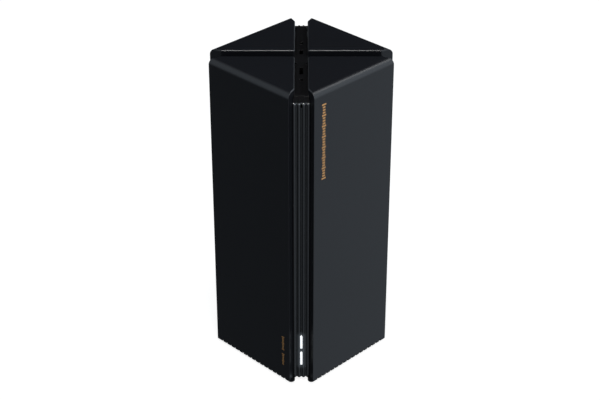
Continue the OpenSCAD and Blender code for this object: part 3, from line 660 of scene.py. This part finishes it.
def across_room(nodes, links, parts, stops):
    """Brightness of the room from its left side (0) to its right side (1)."""
    side = nodes.new("ShaderNodeMapRange")
    side.inputs["From Min"].default_value = -1
    links.new(parts.outputs["X"], side.inputs["Value"])
    curve = nodes.new("ShaderNodeValToRGB")
    elements = curve.color_ramp.elements
    while len(elements) < len(stops):
        elements.new(0.5)
    for element, (place, level) in zip(elements, sorted(stops.items())):
        element.position = place
        element.color = (level, level, level, 1)
    links.new(side.outputs["Result"], curve.inputs["Fac"])
    return curve.outputs["Color"]


def build_world():
    """White to the camera; to the object, a dim room whose floor is brighter on the right."""
    world = bpy.data.worlds.new("studio")
    world.use_nodes = True
    bpy.context.scene.world = world
    nodes, links = world.node_tree.nodes, world.node_tree.links
    where = nodes.new("ShaderNodeTexCoord")
    parts = nodes.new("ShaderNodeSeparateXYZ")
    links.new(where.outputs["Generated"], parts.inputs["Vector"])
    floor_level = across_room(nodes, links, parts, FLOOR_LEVELS)
    wall_level = across_room(nodes, links, parts, WALL_LEVELS)
    rise = nodes.new("ShaderNodeMapRange")
    rise.inputs["From Min"].default_value = -0.2
    rise.inputs["From Max"].default_value = 0.05
    links.new(parts.outputs["Z"], rise.inputs["Value"])
    under = nodes.new("ShaderNodeMapRange")
    under.inputs["From Min"].default_value = -0.9
    under.inputs["From Max"].default_value = -0.6
    links.new(parts.outputs["Z"], under.inputs["Value"])
    shadowed = nodes.new("ShaderNodeMath")
    shadowed.operation = "MULTIPLY"
    links.new(under.outputs["Result"], shadowed.inputs[0])
    links.new(floor_level, shadowed.inputs[1])
    strength = nodes.new("ShaderNodeMix")
    links.new(rise.outputs["Result"], strength.inputs["Factor"])
    links.new(shadowed.outputs["Value"], strength.inputs["A"])
    links.new(wall_level, strength.inputs["B"])
    path = nodes.new("ShaderNodeLightPath")
    seen = nodes.new("ShaderNodeBackground")
    room = nodes["Background"]
    seen.inputs["Color"].default_value = (1, 1, 1, 1)
    room.inputs["Color"].default_value = (0.84, 0.94, 1.04, 1)
    links.new(strength.outputs["Result"], room.inputs["Strength"])
    mix = nodes.new("ShaderNodeMixShader")
    links.new(path.outputs["Is Camera Ray"], mix.inputs["Fac"])
    links.new(room.outputs["Background"], mix.inputs[1])
    links.new(seen.outputs["Background"], mix.inputs[2])
    links.new(mix.outputs["Shader"], nodes["World Output"].inputs["Surface"])


def softbox(name, azimuth, elevation, distance, width, height, power, colour=(1, 1, 1)):
    """An area light facing the tower's middle. Azimuth 0 is in front, 90 to the right."""
    centre = Vector((0, 0, SHELL_HIGH / 2))
    a, e = math.radians(azimuth), math.radians(elevation)
    away = Vector((math.sin(a) * math.cos(e), -math.cos(a) * math.cos(e), math.sin(e)))
    data = bpy.data.lights.new(name, "AREA")
    data.shape = "RECTANGLE"
    data.size, data.size_y = width, height
    data.energy = power
    data.color = colour
    light = bpy.data.objects.new(name, data)
    light.location = centre + away * distance
    light.rotation_mode = "QUATERNION"
    light.rotation_quaternion = away.to_track_quat("Z", "Y")
    light.visible_camera = False
    bpy.context.scene.collection.objects.link(light)
    return light


def build_lights():
    key = softbox("key_right", 75, 15, 1.1, 0.6, 0.6, 4)
    key.visible_glossy = False
    softbox("edge_right", 122, 51, 1.0, 0.25, 0.25, 0.9)
    softbox("overhead", 0, 74, 1.0, 0.09, 0.09, 6.5)


def build_camera():
    """The viewpoint: above the front corner, with a long lens."""
    distance, elevation = 835.4 * MM, math.radians(30.448)
    target = Vector((0, 0, 89.1 * MM))
    back = Vector((0, -math.cos(elevation), math.sin(elevation)))
    data = bpy.data.cameras.new("camera")
    data.lens, data.sensor_width = 91.3, 36
    data.shift_x, data.shift_y = -0.0022, 0.0012
    camera = bpy.data.objects.new("camera", data)
    camera.location = target + back * distance
    camera.rotation_mode = "QUATERNION"
    camera.rotation_quaternion = back.to_track_quat("Z", "Y")
    bpy.context.scene.collection.objects.link(camera)
    bpy.context.scene.camera = camera


# ---------- CAD nodes that stay as they are ----------

KEPT = {
    INNER: ["chassis", "base_plate", "io_plate"],
    GRILLE: ["top_grille"],
    BUTTON: ["pairing_button"],
    RUBBER: ["foot_front", "foot_rear", "foot_left", "foot_right"],
    LABEL: ["rating_label"],
    STEEL: [
        "base_screws", "board_screws", "led_board_screws", "heatsink_screws",
        "jack_1_shield", "jack_2_shield", "jack_3_shield",
        "processor_shield_can", "radio_5g_shield_can", "radio_2g_shield_can",
    ],
    GOLD_CONTACT: ["jack_1_contacts", "jack_2_contacts", "jack_3_contacts", "power_jack_pin"],
    ALUMINIUM: ["front_heatsink", "rear_heatsink"],
    BOARD: [
        "main_board", "led_board",
        "antenna_5g_left", "antenna_5g_right", "antenna_2g_left", "antenna_2g_right",
    ],
    CHIP: [
        "pairing_switch_body", "reset_switch_body", "power_jack_body",
        "jack_1_insert", "jack_2_insert", "jack_3_insert",
        "processor_chip", "memory_chip", "radio_chip_5g", "radio_chip_2g",
    ],
    PLUNGER: ["pairing_switch_plunger", "reset_switch_plunger"],
    PAD: ["thermal_pads"],
    SLEEVE: ["led_ribbon_cable", "antenna_cables"],
    PHOSPHOR: ["upper_led", "lower_led"],
}


def finish_node(node, material, ease):
    """Gives a CAD node its material and slightly eased edges."""
    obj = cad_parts[node]
    obj.data.materials.clear()
    obj.data.materials.append(material)
    weld = obj.modifiers.new("weld", "WELD")
    weld.merge_threshold = 1e-6
    flat = obj.modifiers.new("flat", "DECIMATE")
    flat.decimate_type = "DISSOLVE"
    flat.angle_limit = math.radians(1)
    bevel = obj.modifiers.new("ease", "BEVEL")
    bevel.width = ease
    bevel.segments = 2
    bevel.limit_method = "ANGLE"
    bevel.angle_limit = math.radians(40)
    bevel.harden_normals = True
    seam = obj.modifiers.new("seam", "WELD")
    seam.merge_threshold = MERGE


EASE = {"top_grille": 0.2 * MM, "io_plate": 0.25 * MM, "pairing_button": 0.25 * MM,
        "foot_front": 0.5 * MM, "foot_rear": 0.5 * MM, "foot_left": 0.5 * MM, "foot_right": 0.5 * MM}

for material, names in KEPT.items():
    for node in names:
        finish_node(node, material, EASE.get(node, 0.08 * MM))

build_panel("front_left_panel", -135, False)
build_panel("front_right_panel", -45, False)
build_panel("rear_left_panel", 135, True)
build_panel("rear_right_panel", 45, True)

build_strip("front_strip", -90, STRIP_LOW)
build_strip("left_strip", 180, STRIP_LOW)
build_strip("right_strip", 0, STRIP_LOW)
build_strip("rear_strip", 90, REAR_STRIP_LOW)

build_window("upper_light_guide")
build_window("lower_light_guide")

build_marks("side_mark", -45, -22.4 * MM, SHELL_HIGH - 7.3 * MM, 43.7 * MM, 2.9 * MM, 29)
build_marks("upper_window_mark", -135, 24.4 * MM, 29.7 * MM, 9.2 * MM, 1.9 * MM, 9)
build_marks("lower_window_mark", -135, 24.4 * MM, 18.4 * MM, 7.8 * MM, 1.9 * MM, 7)

build_floor()
build_world()
build_lights()
build_camera()
bpy.context.scene.view_settings.view_transform = "Standard"
